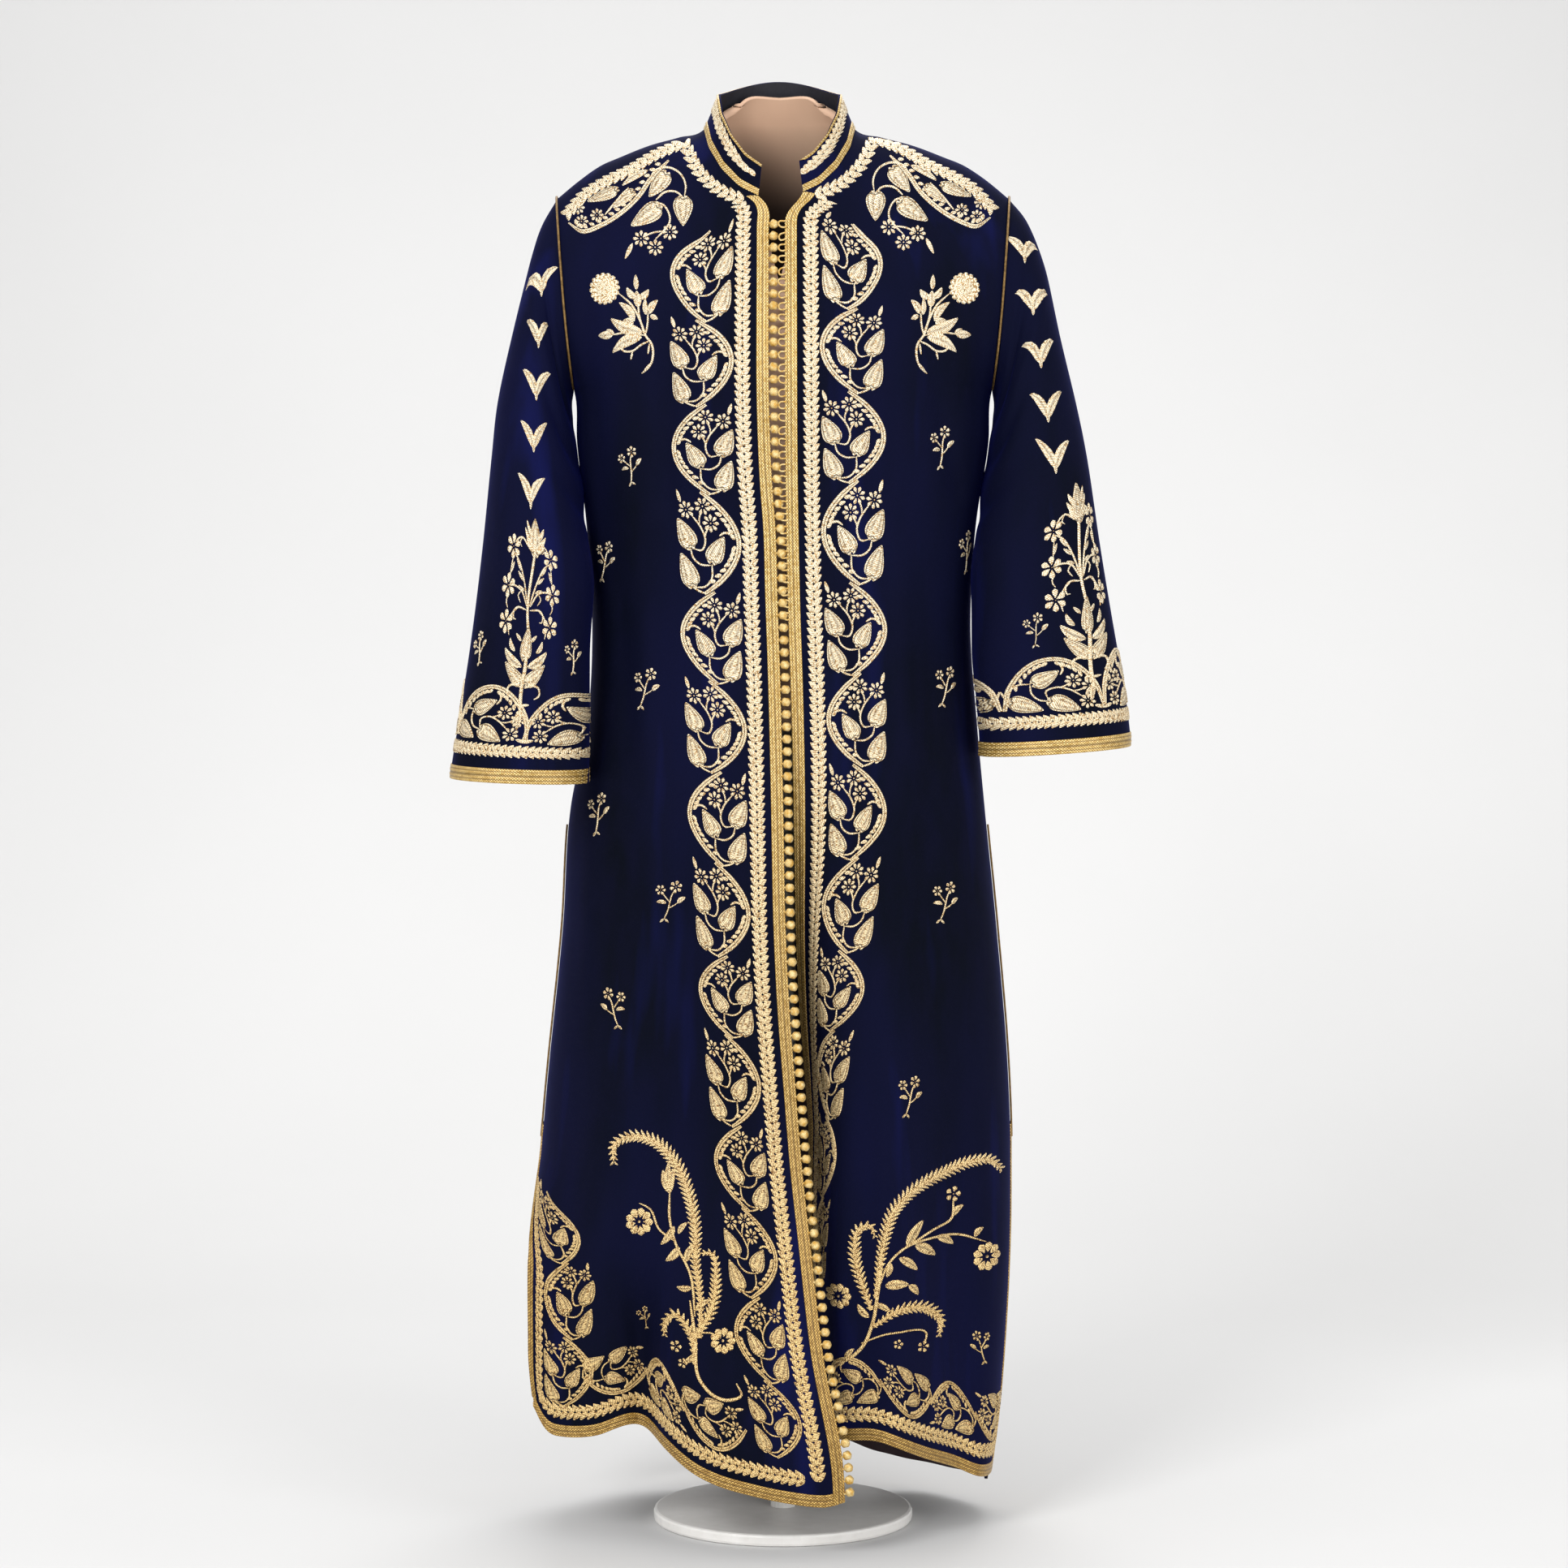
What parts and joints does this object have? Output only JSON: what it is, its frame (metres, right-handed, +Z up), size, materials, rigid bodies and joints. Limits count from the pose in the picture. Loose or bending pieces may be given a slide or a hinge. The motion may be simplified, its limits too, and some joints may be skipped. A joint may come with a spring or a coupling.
{
  "type": "caftan on a dress form",
  "caption": "Long velvet caftan with stand collar, straight sleeves, side slits and gold embroidery, worn by a hollow limbless dress form on a pole and low base.",
  "frame": {"origin": "centre of the underside of the round base, on the surface that the dress form stands on", "axes": "+Z up, the front of the caftan faces -Y, the wearer's left is +X"},
  "size_m": [0.6689, 0.3604, 1.4391],
  "materials": {
    "velvet": "deep navy silk velvet",
    "lining": "dark maroon satin lining",
    "braid": "woven flat braid of gold thread",
    "gold_thread": "couched gold thread",
    "form": "smooth matt beige",
    "stand": "pale satin paint"
  },
  "bodies": {
    "root": {"back": "velvet", "front_right": "velvet", "front_left": "velvet", "sleeve_right": "velvet", "sleeve_left": "velvet", "collar": "velvet", "braid_collar_foot": "braid", "braid_collar_top": "braid", "braid_edge_right": "braid", "braid_edge_left": "braid", "braid_hem_right": "braid", "braid_hem_left": "braid", "braid_hem_back": "braid", "braid_slit_front_right": "braid", "braid_slit_front_left": "braid", "braid_slit_back_right": "braid", "braid_slit_back_left": "braid", "braid_cuff_right": "braid", "braid_cuff_left": "braid", "piping_armhole_right": "gold_thread", "piping_armhole_left": "gold_thread", "piping_side_right": "gold_thread", "piping_side_left": "gold_thread", "buttons": "gold_thread", "dress_form": "form", "pole": "stand", "base": "stand"}
  },
  "joints": []
}
